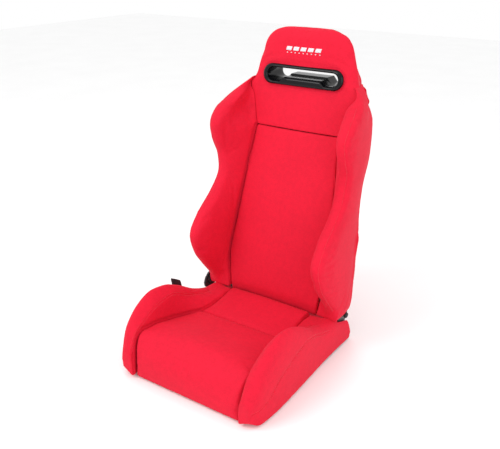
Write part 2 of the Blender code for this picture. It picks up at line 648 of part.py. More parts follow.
# Pass-through slot
def stadium(half_wide, half_high, depth, rise=0.0, steps=9):
    """A long round-ended outline, parallel to the headrest's face, at a level depth behind it.

    With a rise, the middle of its lower side stands up as a sill with sloping ends.
    """
    straight = half_wide - half_high
    right = [(straight + half_high * math.cos(a), half_high * math.sin(a))
             for a in np.linspace(-math.pi / 2, math.pi / 2, steps)]
    sill_top, sill_foot = SILL_HALF
    sill = [(-sill_foot, -half_high), (-sill_top, rise - half_high), (sill_top, rise - half_high),
            (sill_foot, -half_high)]
    tilt = math.radians(SLOT_TILT)
    mouth = face_y(SLOT_Z)
    return [(x, mouth + depth + h * math.sin(tilt), SLOT_Z + h * math.cos(tilt))
            for x, h in right + [(-x, -h) for x, h in right] + sill]


def bezel_depths():
    """Depths of the front flange, the joint between the two sleeves, and the rear flange."""
    rear = back_depth(SLOT_Z) - 0.001
    front = -0.007
    return front, (front + rear) / 2, rear


def make_bezel(name, flange, end, plastic, back):
    """A rounded flange on one face of the headrest, with a sleeve that lines half of the slot."""
    outward = -1 if end > flange else 1
    wide, high = TUNNEL_HALF
    out_wide, out_high = BEZEL_HALF
    wall = TUNNEL_WALL
    loops = [stadium(wide, high, end, SILL_RISE), stadium(wide, high, flange - outward * 0.004, SILL_RISE),
             stadium(wide + 0.002, high + 0.002, flange + outward * 0.004, SILL_RISE),
             stadium(wide + 0.007, high + 0.006, flange + outward * 0.0065, 0.25 * SILL_RISE),
             stadium(out_wide - 0.004, out_high - 0.0025, flange + outward * 0.0045),
             stadium(out_wide, out_high, flange),
             stadium(wide + wall, high + wall, flange), stadium(wide + wall, high + wall, end)]
    mesh_node(name, loop_ring(loops), plastic, back)


def slot_cutters(back):
    """The slot itself, and a flat seat on each face for the bezel's flange."""
    wide, high = (half + TUNNEL_WALL + GAP for half in TUNNEL_HALF)
    seat_wide, seat_high = (half + 2 * GAP for half in BEZEL_HALF)
    front, _, rear = bezel_depths()
    spans = {"cut_slot": (wide, high, -0.2, 0.3), "cut_front_seat": (seat_wide, seat_high, -0.2, front + GAP),
             "cut_rear_seat": (seat_wide, seat_high, rear - GAP, 0.3)}
    return [cutter(name, loft([stadium(half_wide, half_high, depth) for depth in (start, end)]), back)
            for name, (half_wide, half_high, start, end) in spans.items()]


def main():
    clear_scene()
    fabric = material("red_fabric", (0.62, 0.012, 0.022), 0.85)
    tag_fabric = material("tag_fabric", (0.02, 0.02, 0.022), 0.7)
    frame_steel = material("black_steel", (0.03, 0.03, 0.032), 0.5, 0.6)
    bright_steel = material("zinc_steel", (0.55, 0.55, 0.53), 0.4, 1.0)
    plastic = material("black_plastic", (0.02, 0.02, 0.022), 0.45)
    gloss = material("gloss_plastic", (0.008, 0.008, 0.009), 0.12)

    seat = empty("seat_origin", (0, -SEAT_CENTRE_Y, 0))
    back = empty("recline_axis", (0, RECLINE_Y, RECLINE_Z), seat)
    lever = empty("lever_axis", (0, RECLINE_Y, RECLINE_Z), seat)
    shaft = empty("pawl_axis", (0, *pawl_centre()), seat)

    for side in (1, -1):
        make_rail(side, frame_steel, seat)
        make_base_plate(side, frame_steel, seat)
        for number, y in enumerate((0.130, 0.240), 1):
            make_bracket_bolt(side, number, y, bright_steel, seat)
        make_pivot(side, bright_steel, seat)
        make_spiral_spring(side, bright_steel, seat)
        make_sector_arm(side, frame_steel, back)
        make_pawl(side, bright_steel, shaft)
        make_upright(side, frame_steel, back)
        make_wing(side, fabric, back)
    for name, y in zip(("front_cross_tube", "rear_cross_tube"), CROSS_TUBE_Y):
        make_cross_tube(name, y, frame_steel, seat)
    for number, x in enumerate(SEAT_SPRING_X, 1):
        make_seat_spring(number, x, bright_steel, seat)
    make_pawl_shaft(bright_steel, shaft)
    make_release_lever(frame_steel, plastic, lever)
    make_pivot_cap(plastic, seat)

    frame_space = cutter("cut_frame_space", box(*FRAME_SPACE), seat)
    for side in (1, -1):
        make_bolster(side, fabric, seat, [frame_space])
    make_cushion("cushion_front", CUSHION_FRONT_Y, PANEL_SEAM_Y - GAP, 0.004, fabric, seat, [frame_space])
    make_cushion("cushion_rear", PANEL_SEAM_Y + GAP, 0.275, 0.003, fabric, seat, [frame_space])
    make_tag(tag_fabric, seat)

    for name, z in (("back_lower_bar", 0.185), ("back_middle_bar", 0.620), ("back_top_bar", 0.905)):
        make_back_bar(name, z, frame_steel, back)
    for number, z in enumerate((0.290, 0.400, 0.510), 1):
        make_back_spring(number, z, bright_steel, back)
    make_insert(fabric, back)
    slot, front_seat, rear_seat = slot_cutters(back)
    make_headrest(fabric, back, [slot, front_seat])
    make_rear_cover(fabric, back, [slot, rear_seat])
    front, joint, rear = bezel_depths()
    make_bezel("bezel_front", front, joint - GAP / 2, gloss, back)
    make_bezel("bezel_rear", rear, joint + GAP / 2, gloss, back)


main()
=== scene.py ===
"""The looks of a red reclining sport bucket seat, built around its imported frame.

Metres, +Z up. The occupant faces -Y, so the occupant's left is +X. Shapes are drawn in the seat's own
coordinates, whose origin is the middle of the base's footprint, and are moved into the frame by the
place of its recline hinge.
"""

import json
import math

import bmesh
import bpy
import numpy as np
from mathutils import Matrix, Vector, noise
from mathutils.bvhtree import BVHTree
from mathutils.kdtree import KDTree


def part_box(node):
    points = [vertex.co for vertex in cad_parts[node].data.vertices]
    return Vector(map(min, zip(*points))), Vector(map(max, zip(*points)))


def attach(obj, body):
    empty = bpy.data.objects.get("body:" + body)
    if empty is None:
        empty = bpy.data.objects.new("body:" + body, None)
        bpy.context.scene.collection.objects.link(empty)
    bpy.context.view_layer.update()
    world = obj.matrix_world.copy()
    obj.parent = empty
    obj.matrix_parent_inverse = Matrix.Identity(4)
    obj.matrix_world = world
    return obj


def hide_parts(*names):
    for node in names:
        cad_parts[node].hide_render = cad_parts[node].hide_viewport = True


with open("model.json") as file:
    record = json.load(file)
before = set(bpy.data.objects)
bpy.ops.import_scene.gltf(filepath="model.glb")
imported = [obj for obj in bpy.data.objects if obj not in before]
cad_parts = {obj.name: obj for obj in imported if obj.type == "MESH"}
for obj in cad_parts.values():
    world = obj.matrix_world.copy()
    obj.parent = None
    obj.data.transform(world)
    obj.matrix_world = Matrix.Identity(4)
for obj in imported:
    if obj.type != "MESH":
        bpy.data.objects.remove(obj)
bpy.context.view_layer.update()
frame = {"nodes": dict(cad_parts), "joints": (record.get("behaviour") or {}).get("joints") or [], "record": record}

# Seat coordinates
RECLINE_Y = 0.240
HINGE = next(joint for joint in frame["joints"] if joint["name"] == "recline")
SHIFT = Vector((0.0, HINGE["pos_m"][1] - RECLINE_Y, 0.0))
FACET = 0.005  # edge length of the fabric meshes before they are subdivided
PIECE_GAP = 0.0003  # how far an insert, a yoke or a cushion keeps clear of the seam that it shares
FLANK_GAP = 0.0006  # the same for a wing or a bolster
CAP_RINGS = (0.86, 0.70, 0.52, 0.34, 0.17)  # sizes of the rings that fill a mesh's ends

# The back, as its frame has it
FACE_SLOPE = 0.2535
FACE_FOOT_Y = 0.1347
HEAD_BEND_Z = 0.700
PAD_DEPTH = 0.045
COVER_DEPTH = 0.012
WING_BOTTOM = 0.121
WING_TOP = 0.834
COVER_BOTTOM = 0.142
COVER_TOP = 0.955
INSERT_BOTTOM = 0.108
INSERT_TOP = 0.6825
YOKE_FOOT = 0.69
HEAD_FOOT = 0.800
BACK_TOP = 0.996
SLOT_Z = 0.8505
SLOT_TILT = math.radians(9.0)
BEZEL_HALF = (0.146, 0.0325)
TUNNEL_HALF = (0.1275, 0.0205)
SILL_HALF = (0.066, 0.082)  # the slot's raised middle sill, along its top and its foot
SILL_RISE = (0.013, 0.018)  # of the front and of the rear moulding

# The base, as its frame has it
BASE_FRONT_Y = -0.308
BASE_REAR_Y = 0.283
BASE_UNDERSIDE = 0.004
PANEL_SEAM_Y = -0.008
CUSHION_FRONT_Y = -0.2965
CUSHION_REAR_Y = 0.275
BOLSTER_SEAM_X = 0.204
CREST_INSET = 0.026
FRAME_SPACE = ((-0.2289, -0.2343, -0.02), (0.2289, 0.2623, 0.0558))
# Room for the back's foot and for the hinge, as opposite corners on the left side
HINGE_SPACES = (((0.09, 0.172, 0.0645), (0.1745, 0.2775, 0.30)),
                ((0.1745, 0.206, 0.0645), (0.2440, 0.2775, 0.30)),
                ((0.2200, 0.095, -0.02), (0.2440, 0.206, 0.108)),
                ((0.2200, 0.192, -0.02), (0.2440, 0.2775, 0.30)))

# Depth and width of each kind of groove that the seams press into the fabric
GROOVES = {"crease": (0.0040, 0.0055), "yoke": (0.0009, 0.0030), "wing": (0.0013, 0.0026),
           "hem": (0.0020, 0.0032), "bolster_top": (0.0017, 0.0028), "bolster_side": (0.0015, 0.0028),
           "insert_top": (0.0014, 0.0040), "panels": (0.0030, 0.0045), "slot": (0.0030, 0.0050)}
SEAM_STEP = 0.006  # between the points that draw a seam
KNOT_PITCH = 0.002  # between the points that the fabric is measured against
BESIDE_HEM = 0.0042  # rows of stitches, on either side of the rear panel's edge
BESIDE_SEAM = 0.0040  # and on either side of the bolsters' seams
BESIDE_WING_SEAM = 0.0035  # and on one side of the wings' seams
STITCH_PITCH = 0.0042
STITCH_LENGTH = 0.0031
THREAD_RADIUS = 0.00042

# How the fabric swells
HELD_BESIDE_SEAM = 0.004
CLOTH_PRESSURE = 4
CLOTH_STEPS = 20


def smooth_curve(*keys):
    """A smooth function through (position, value) pairs, level beyond the ends, with no overshoot."""
    at = np.array([key[0] for key in keys], float)
    value = np.array([key[1] for key in keys], float)
    rise = np.diff(value) / np.diff(at)
    before, after = rise[:-1], rise[1:]
    same_way = before * after > 0
    inner = np.where(same_way, 2 * before * after / np.where(same_way, before + after, 1.0), 0.0)
    slope = np.concatenate([rise[:1], inner, rise[-1:]])

    def curve(t):
        t = min(max(t, at[0]), at[-1])
        i = min(int(np.searchsorted(at, t, side="right")) - 1, len(at) - 2)
        span = at[i + 1] - at[i]
        u = (t - at[i]) / span
        level = value[i] * (1 + 2 * u) * (1 - u) ** 2 + value[i + 1] * u * u * (3 - 2 * u)
        lean = slope[i] * u * (1 - u) ** 2 - slope[i + 1] * u * u * (1 - u)
        return float(level + lean * span)

    return curve


def share(value, start, length):
    """How far a value is along a stretch that begins at start, from 0 to 1."""
    return min(max((value - start) / length, 0.0), 1.0)


# The backrest, by height
def face_y(z):
    """The front face of the back's centre: a slope that bends towards vertical behind the head."""
    over = max(z - HEAD_BEND_Z, 0.0)
    return FACE_FOOT_Y + FACE_SLOPE * z - 0.36 * over * over


insert_curl = smooth_curve((0.108, 0.1800), (0.122, 0.1752), (0.136, 0.1730), (0.150, 0.1727))
insert_half = smooth_curve((0.108, 0.172), (0.15, 0.176), (0.25, 0.190), (0.42, 0.179), (0.56, 0.167),
                           (0.69, 0.155))
yoke_half = smooth_curve((0.69, 0.155), (0.73, 0.168), (0.775, 0.179), (0.81, 0.197), (0.85, 0.171),
                         (0.88, 0.156), (0.91, 0.144), (0.95, 0.134), (0.975, 0.118), (0.99, 0.096),
                         (0.996, 0.076))
wing_half = smooth_curve((0.121, 0.2500), (0.134, 0.2560), (0.15, 0.2590), (0.25, 0.2600), (0.40, 0.2560),
                         (0.53, 0.2490), (0.64, 0.2590), (0.730, 0.2575), (0.778, 0.2440), (0.806, 0.2215),
                         (0.824, 0.2010), (0.836, 0.1880))
wing_rear_half = smooth_curve((0.121, 0.2480), (0.15, 0.2520), (0.25, 0.2435), (0.40, 0.2330), (0.52, 0.2270),
                              (0.62, 0.2340), (0.72, 0.2260), (0.770, 0.2140), (0.806, 0.1950), (0.836, 0.1780))
wing_reach = smooth_curve((0.121, 0.002), (0.134, 0.009), (0.15, 0.018), (0.165, 0.030), (0.22, 0.088),
                          (0.28, 0.146), (0.355, 0.183), (0.41, 0.160), (0.47, 0.104), (0.53, 0.074),
                          (0.59, 0.085), (0.65, 0.124), (0.705, 0.146), (0.745, 0.126), (0.775, 0.082), (0.800, 0.042),
                          (0.820, 0.014), (0.836, 0.002))
notch_half = smooth_curve((0.15, 0.2412), (0.28, 0.2412), (0.345, 0.2412), (0.42, 0.2190), (0.52, 0.2120),
                          (0.62, 0.2150), (0.72, 0.2080), (0.765, 0.1935), (0.80, 0.1700), (0.836, 0.1640))
head_flare = smooth_curve((0.812, 0.0), (0.835, 0.008), (0.90, 0.024), (0.975, 0.020), (0.996, 0.014))
back_depth = smooth_curve((0.15, 0.105), (0.40, 0.100), (0.70, 0.095), (0.82, 0.085), (0.93, 0.080),
                          (0.975, 0.066), (0.996, 0.030))

# The base, from front to rear
bolster_crest = smooth_curve((-0.308, 0.086), (-0.290, 0.130), (-0.262, 0.178), (-0.215, 0.214),
                             (-0.155, 0.234), (-0.105, 0.228), (-0.045, 0.204), (0.045, 0.152), (0.120, 0.128),
                             (0.168, 0.125), (0.213, 0.108), (0.262, 0.090), (0.283, 0.040))
bolster_seam = smooth_curve((-0.308, 0.076), (-0.279, 0.136), (-0.227, 0.173), (-0.165, 0.197),
                            (-0.110, 0.202), (-0.068, 0.189), (-0.018, 0.163), (0.060, 0.137), (0.120, 0.124),
                            (0.168, 0.121), (0.213, 0.104), (0.262, 0.088), (0.283, 0.036))
bolster_bulge = smooth_curve((-0.308, 0.240), (-0.270, 0.256), (-0.180, 0.2630), (-0.050, 0.2600),
                             (0.100, 0.2530), (0.283, 0.2500))
crease_half = smooth_curve((-0.300, 0.196), (-0.262, 0.206), (-0.216, 0.200), (-0.122, 0.198), (-0.046, 0.180),
                           (0.000, 0.161), (0.060, 0.155), (0.283, 0.153))
cushion_top = smooth_curve((-0.2965, 0.060), (-0.290, 0.104), (-0.272, 0.132), (-0.245, 0.146), (-0.200, 0.144),
                           (-0.122, 0.127), (-0.050, 0.116), (0.000, 0.1135), (0.060, 0.118), (0.105, 0.124),
                           (0.140, 0.130), (0.158, 0.130), (0.165, 0.124), (0.1685, 0.110), (0.1705, 0.090),
                           (0.174, 0.0655), (0.262, 0.0640), (0.275, 0.050))
outer_seam = smooth_curve((-0.308, 0.052), (-0.262, 0.060), (-0.232, 0.076), (-0.197, 0.105), (-0.145, 0.129),
                          (-0.090, 0.146), (-0.032, 0.152), (0.020, 0.142), (0.080, 0.118), (0.160, 0.096),
                          (0.283, 0.030))


# Mesh building
def dense(points, steps=10):
    """A Catmull-Rom line through points."""
    given = [np.array(point, float) for point in points]
    if len(given) == 2:
        return [given[0] + (given[1] - given[0]) * t for t in np.linspace(0, 1, steps + 1)]
    ends = [2 * given[0] - given[1]] + given + [2 * given[-1] - given[-2]]
    line = []
    for before, start, end, after in zip(ends, ends[1:], ends[2:], ends[3:]):
        for t in np.linspace(0, 1, steps, endpoint=False):
            line.append(0.5 * (2 * start + (end - before) * t
                               + (2 * before - 5 * start + 4 * end - after) * t * t
                               + (3 * start - before - 3 * end + after) * t ** 3))
    return line + [given[-1]]


def spaced(points, count):
    """That many points, evenly spaced along the smooth line through points, its end left out."""
    line = np.array(dense(points))
    run = np.concatenate([[0], np.cumsum(np.linalg.norm(np.diff(line, axis=0), axis=1))])
    at = np.linspace(0, run[-1], count, endpoint=False)
    return np.stack([np.interp(at, run, line[:, axis]) for axis in range(3)], axis=1)


def outline(parts, counts):
    """A closed section, from its stretches between seams and how many points each is given."""
    return np.concatenate([spaced(part, count) for part, count in zip(parts, counts)])


def lofted(name, rows):
    """A closed mesh through rows of equal length, its two ends filled by shrinking rings."""
    rows = [np.asarray(row) for row in rows]
    centres = rows[0].mean(axis=0), rows[-1].mean(axis=0)
    first = [centres[0] + (rows[0] - centres[0]) * s for s in reversed(CAP_RINGS)]
    last = [centres[1] + (rows[-1] - centres[1]) * s for s in CAP_RINGS]
    rings = first + rows + last
    columns = len(rows[0])
    points = [tuple(point) for ring in rings for point in ring]
    faces = []
    for r in range(len(rings) - 1):
        for i in range(columns):
            j = (i + 1) % columns
            faces.append((r * columns + i, r * columns + j, (r + 1) * columns + j, (r + 1) * columns + i))
    for ring, centre in ((0, centres[0]), (len(rings) - 1, centres[1])):
        points.append(tuple(centre))
        for i in range(columns):
            faces.append((ring * columns + i, ring * columns + (i + 1) % columns, len(points) - 1))
    mesh = bpy.data.meshes.new(name)
    mesh.from_pydata(points, [], faces)
    bm = bmesh.new()
    bm.from_mesh(mesh)
    bmesh.ops.recalc_face_normals(bm, faces=bm.faces)
    bm.to_mesh(mesh)
    bm.free()
    made = bpy.data.objects.new(name, mesh)
    bpy.context.scene.collection.objects.link(made)
    return made


def stations(start, end):
    """Evenly spaced places for the rows of a mesh."""
    return np.linspace(start, end, max(2, round((end - start) / FACET) + 1))


def linked(name, bm):
    """A bmesh as an object of the scene, its faces turned outward."""
    bmesh.ops.recalc_face_normals(bm, faces=bm.faces)
    mesh = bpy.data.meshes.new(name)
    bm.to_mesh(mesh)
    bm.free()
    made = bpy.data.objects.new(name, mesh)
    bpy.context.scene.collection.objects.link(made)
    return made


def tube(bm, loops, around=False):
    """Joins loops of points with faces, and either closes the ends or joins the last loop to the first."""
    rings = [[bm.verts.new(point) for point in loop] for loop in loops]
    for low, high in zip(rings, rings[1:] + rings[:1] if around else rings[1:]):
        for i in range(len(low)):
            j = (i + 1) % len(low)
            bm.faces.new((low[i], low[j], high[j], high[i]))
    if not around:
        bm.faces.new(rings[0])
        bm.faces.new(rings[-1])


def sided(side):
    return "left" if side > 0 else "right"


def mirrored(points, side):
    return [(side * x, y, z) for x, y, z in points]


# Backrest
def inner_half(z):
    """Half-width at the wings' inner edge, beside the insert and then beside the yoke."""
    return insert_half(z) if z < YOKE_FOOT else yoke_half(z)


def wing_parts(z, side):
    """A wing's section at height z, as its stretches: inner edge, front, side, rear, and two hidden ones."""
    face, depth, reach = face_y(z), back_depth(z), wing_reach(z)
    half, rear_half = wing_half(z), wing_rear_half(z)
    inner = inner_half(z) + FLANK_GAP
    half = max(half, inner + 0.0015)
    rear_half = max(rear_half, inner + 0.001)
    notch = min(notch_half(z), rear_half - 0.004)
    lip_wide = min(0.026, 0.45 * (half - inner))
    lip_deep = min(0.028, 0.8 * reach)
    centre = (half - lip_wide, face - reach + lip_deep)
    lip = [(centre[0] + lip_wide * math.cos(a), centre[1] - lip_deep * math.sin(a))
           for a in np.linspace(math.radians(165), 0, 7)]
    cove = share(z, 0.68, 0.05)
    flank = []
    foot, top = np.array((inner, face)), np.array(lip[0])
    for t in (0.25, 0.5, 0.75):
        place = foot + (top - foot) * t
        hollow = cove * reach * t * (1 - t)
        flank.append((place[0] + 0.35 * hollow, place[1] + hollow))
    rear = face + depth
    corner = min(0.020, 0.7 * (rear_half - notch))
    slope = share(z, 0.735, 0.05)
    side_line = [lip[4], lip[5], lip[6], (0.5 * (half + rear_half) + 0.002, 0.5 * (centre[1] + rear)),
                 (rear_half - 0.002 * slope, rear - 0.022 - 0.026 * slope),
                 (rear_half - (0.3 + 0.3 * slope) * corner, rear - 0.006 - 0.014 * slope)]
    parts = [[(inner, face + PAD_DEPTH), (inner, face)],
             [(inner, face)] + flank + lip[:5],
             side_line,
             [side_line[-1], (rear_half - corner, rear), (notch, rear)],
             [(notch, rear), (notch, face + PAD_DEPTH)],
             [(notch, face + PAD_DEPTH), (inner, face + PAD_DEPTH)]]
    return [[(side * x, y, z) for x, y in part] for part in parts]


WING_COUNTS = (6, 34, 36, 6, 8, 6)


def make_wing(side):
    rows = [outline(wing_parts(z, side), WING_COUNTS) for z in stations(WING_BOTTOM, WING_TOP)]
    return lofted(f"back_wing_{sided(side)}_cover", rows)


def make_insert():
    """The centre panel: a closed profile up its face and down its hidden back, swept from side to side."""
    heights = list(stations(INSERT_BOTTOM, INSERT_TOP))

    def hidden(u, z):
        return u * (insert_half(z) - PIECE_GAP), face_y(z) + PAD_DEPTH, z

    rows = []
    for u in np.linspace(-1, 1, 73):
        front = []
        for z in heights:
            crown = 0.006 * (1 - u * u) * min(1.0, (z - INSERT_BOTTOM) / 0.04)
            front.append((u * (insert_half(z) - PIECE_GAP), max(face_y(z), insert_curl(z)) - crown, z))
        back = [hidden(u, z) for z in heights[::-6]]
        if back[-1][2] > heights[0]:
            back.append(hidden(u, heights[0]))
        rows.append(np.array(front + back))
    return lofted("back_insert_cover", rows)


def head_outline(z):
    """The yoke and headrest at height z: a rounded section, all of the back's depth above the wings."""
    half = yoke_half(z) - PIECE_GAP
    front, depth = face_y(z), back_depth(z)
    rise = max(z - (BACK_TOP - 0.040), 0.0) / 0.040
    lean = 0.016 * (1 - math.sqrt(max(1 - rise * rise, 0.0)))
    front, depth = front + lean, max(depth - lean, 0.014)
    full = share(z, 0.820, 0.012)
    round_off = 0.002 + full * min(0.026, 0.45 * depth)
    fore_off = 0.75 * round_off
    wide = half + head_flare(z)
    crown = 0.004 + 0.005 * full
    clear = share(z, 0.820, 0.030)
    behind = min(half, notch_half(z) + (half - notch_half(z)) * clear)
    quarter = np.linspace(0, math.pi / 2, 6)
    fore = [(wide - fore_off * (1 - math.sin(a)), front + fore_off * (1 - math.cos(a))) for a in quarter]
    aft = [(behind - round_off + round_off * math.cos(a), front + depth - round_off * (1 - math.sin(a)))
           for a in quarter]
    face = [(x, front - crown * (1 - (x / wide) ** 2)) for x in np.linspace(-0.84 * half, 0.84 * half, 9)]
    left = [(-x, y) for x, y in reversed(fore)]
    parts = [left + face + fore, [fore[-1], aft[0]], aft + [(-x, y) for x, y in reversed(aft)],
             [(-aft[0][0], aft[0][1]), (-fore[-1][0], fore[-1][1])]]
    return [[(x, y, z) for x, y in part] for part in parts]


HEAD_COUNTS = (76, 16, 70, 16)


def make_headrest():
    heights = list(stations(INSERT_TOP + PIECE_GAP, BACK_TOP - 0.012)) + [0.987, 0.990, 0.993, 0.995, BACK_TOP]
    return lofted("headrest_cover", [outline(head_outline(z), HEAD_COUNTS) for z in heights])


def panel_half(z):
    """Half-width of the rear panel: it fills the space between the wings, then narrows with the headrest."""
    return notch_half(z) if z < HEAD_FOOT else min(notch_half(z), yoke_half(z) - 0.0135)


def make_rear_panel():
    rows = []
    for z in stations(COVER_BOTTOM, COVER_TOP):
        half = panel_half(z) - 0.0010
        rear = face_y(z) + back_depth(z)
        swell = 0.002
        across = [(x, rear + swell * (1 - (x / half) ** 2), z) for x in np.linspace(half, -half, 9)]
        rows.append(outline([[(-half, rear, z), (-half, rear - COVER_DEPTH, z)],
                             [(-half, rear - COVER_DEPTH, z), (half, rear - COVER_DEPTH, z)],
                             [(half, rear - COVER_DEPTH, z), (half, rear, z)], across], (3, 20, 3, 80)))
    return lofted("rear_cover_panel", rows)


# Base
def valley_height(y):
    """Where the cushions and the bolsters meet: a crease in front, flush at the rear."""
    return min(cushion_top(y), bolster_seam(y) - 0.012 * min(max((0.09 - y) / 0.08, 0.0), 1.0))


def bolster_parts(y, side):
    """A bolster's section at y, as its stretches between seams: side, top, inner flank, and two hidden ones."""
    crest, seam, bulge = bolster_crest(y), bolster_seam(y), bolster_bulge(y)
    crease = crease_half(y) + FLANK_GAP
    valley = valley_height(y)
    foot = bulge - 0.003
    under = BASE_UNDERSIDE + 0.030 * max(0.0, (-0.266 - y) / 0.042) ** 2
    top = max(crest, BASE_UNDERSIDE + 0.03)
    crest_x = bulge - CREST_INSET
    over = dense([(foot, under), (foot + 0.55 * (bulge - foot), under + 0.28 * top), (bulge, 0.60 * top),
                  (bulge - 0.003, 0.82 * top), (bulge - 0.012, 0.945 * top), (crest_x, top),
                  (0.5 * (crest_x + BOLSTER_SEAM_X), seam + 0.62 * (top - seam)), (BOLSTER_SEAM_X, seam)])
    split = next(i for i, point in enumerate(over) if point[1] >= min(outer_seam(y), 0.9 * top))
    flank = [(BOLSTER_SEAM_X, seam),
             (crease + 0.35 * (BOLSTER_SEAM_X - crease), valley + 0.45 * (seam - valley)), (crease, valley)]
    parts = [over[:split + 1:3] + [over[split]], [over[split]] + over[split + 1::3] + [over[-1]], flank,
             [(crease, valley), (crease, BASE_UNDERSIDE)], [(crease, BASE_UNDERSIDE), (foot, under)]]
    return [[(side * x, y, z) for x, z in part] for part in parts]


BOLSTER_COUNTS = (26, 34, 16, 10, 8)


def make_bolster(side):
    rows = [outline(bolster_parts(y, side), BOLSTER_COUNTS) for y in stations(BASE_FRONT_Y, BASE_REAR_Y)]
    return lofted(f"thigh_bolster_{sided(side)}_cover", rows)


def make_cushion(name, start, end, crown):
    """A seat panel: a closed profile over its top and round its hidden underside, swept across the seat."""
    line = [(0.0, y, cushion_top(y)) for y in np.arange(start, end, 0.002)] + [(0.0, end, cushion_top(end))]
    front = [(0.0, start, BASE_UNDERSIDE), (0.0, start, 0.5 * (BASE_UNDERSIDE + line[0][2])), line[0]]
    parts = [front, line, [line[-1], (0.0, end, BASE_UNDERSIDE)], [(0.0, end, BASE_UNDERSIDE), front[0]]]
    length = sum(math.dist(a, b) for a, b in zip(line, line[1:]))
    profile = outline(parts, (12, round(length / FACET), 8, 20))
    rows = []
    for u in np.linspace(-1, 1, 77):
        row = profile.copy()
        for point in row:
            point[0] = u * (crease_half(point[1]) - PIECE_GAP)
            if point[2] > 0.06:
                point[2] += crown * (1 - u * u)
        rows.append(row)
    return lofted(name, rows)


# Seams
def seam_lines():
    """Every seam, in seat coordinates: body, points, groove depth and width, offsets of its stitches."""
    heights = np.arange(INSERT_BOTTOM + 0.02, INSERT_TOP, SEAM_STEP)
    yoke = np.arange(INSERT_TOP, WING_TOP, SEAM_STEP)
    across = np.linspace(-1, 1, 60)
    base = np.arange(BASE_FRONT_Y + 0.006, 0.165, SEAM_STEP)
    lines = []

    def add(body, kind, points, *offsets):
        lines.append((body, points, *GROOVES[kind], offsets))

    for side in (1, -1):
        crease = [(insert_half(z), max(face_y(z), insert_curl(z)), z) for z in heights]
        add("backrest", "crease", mirrored(crease, side))
        add("backrest", "yoke", mirrored([(yoke_half(z), face_y(z), z) for z in yoke], side))
        for part, end, offset in ((2, 0.790, -BESIDE_WING_SEAM), (3, 0.812, BESIDE_WING_SEAM)):
            edge = [wing_parts(z, side)[part][0] for z in np.arange(0.165, end, SEAM_STEP)]
            add("backrest", "wing", edge, offset)
        hem = [(panel_half(z) - PIECE_GAP, face_y(z) + back_depth(z), z)
               for z in np.arange(0.16, 0.945, SEAM_STEP)]
        add("backrest", "hem", mirrored(hem, side), -BESIDE_HEM, BESIDE_HEM)
        inner = [(BOLSTER_SEAM_X, y, bolster_seam(y)) for y in base if y < 0.10]
        add("base", "bolster_top", mirrored(inner, side), -BESIDE_SEAM, BESIDE_SEAM)
        outer = [bolster_parts(y, side)[1][0] for y in base if y < 0.13]
        add("base", "bolster_side", outer, -BESIDE_SEAM, BESIDE_SEAM)
        valley = [(crease_half(y), y, valley_height(y)) for y in base]
        add("base", "crease", mirrored(valley, side))
        front = [(crease_half(CUSHION_FRONT_Y), CUSHION_FRONT_Y - 0.004, z)
                 for z in np.arange(0.008, 0.10, SEAM_STEP)]
        add("base", "crease", mirrored(front, side))
    half = insert_half(INSERT_TOP)
    top = [(u * half, face_y(INSERT_TOP) - 0.004 * (1 - u * u), INSERT_TOP) for u in across]
    add("backrest", "insert_top", top)
    half = crease_half(PANEL_SEAM_Y)
    middle = [(u * half, PANEL_SEAM_Y, cushion_top(PANEL_SEAM_Y) + 0.0035 * (1 - u * u)) for u in across]
    add("base", "panels", middle)
    slot = slot_outline(BEZEL_HALF[0] + 0.002, BEZEL_HALF[1] + 0.002, -0.006, 0.0)
    add("backrest", "slot", slot + slot[:1])
    return lines


def along(points, pitch):
    """Points at a steady pitch along a line, moved into the frame, with their directions."""
    line = np.array(points, float)
    run = np.concatenate([[0], np.cumsum(np.linalg.norm(np.diff(line, axis=0), axis=1))])
    at = np.arange(pitch / 2, run[-1], pitch)
    placed = np.stack([np.interp(at, run, line[:, axis]) for axis in range(3)], axis=1)
    ahead = np.stack([np.interp(at + 0.001, run, line[:, axis]) for axis in range(3)], axis=1)
    behind = np.stack([np.interp(at - 0.001, run, line[:, axis]) for axis in range(3)], axis=1)
    return [(Vector(p) + SHIFT, Vector(d).normalized()) for p, d in zip(placed, ahead - behind)]


# Finishing the fabric
def settle(obj, passes, keep):
    """Moves a mesh into the frame, with its edges rounded except where keep(x, y, z) holds."""
    bm = bmesh.new()
    bm.from_mesh(obj.data)
    free = [v for v in bm.verts if not keep(abs(v.co.x), v.co.y, v.co.z)]
    for _ in range(passes):
        bmesh.ops.smooth_vert(bm, verts=free, factor=0.5, use_axis_x=True, use_axis_y=True, use_axis_z=True)
    bmesh.ops.translate(bm, verts=bm.verts, vec=SHIFT)
    bm.to_mesh(obj.data)
    bm.free()


def coordinates(mesh):
    co = np.empty(len(mesh.vertices) * 3)
    mesh.vertices.foreach_get("co", co)
    return co.reshape(-1, 3)


def normals(mesh):
    direction = np.empty(len(mesh.vertices) * 3)
    mesh.vertex_normals.foreach_get("vector", direction)
    return direction.reshape(-1, 3)


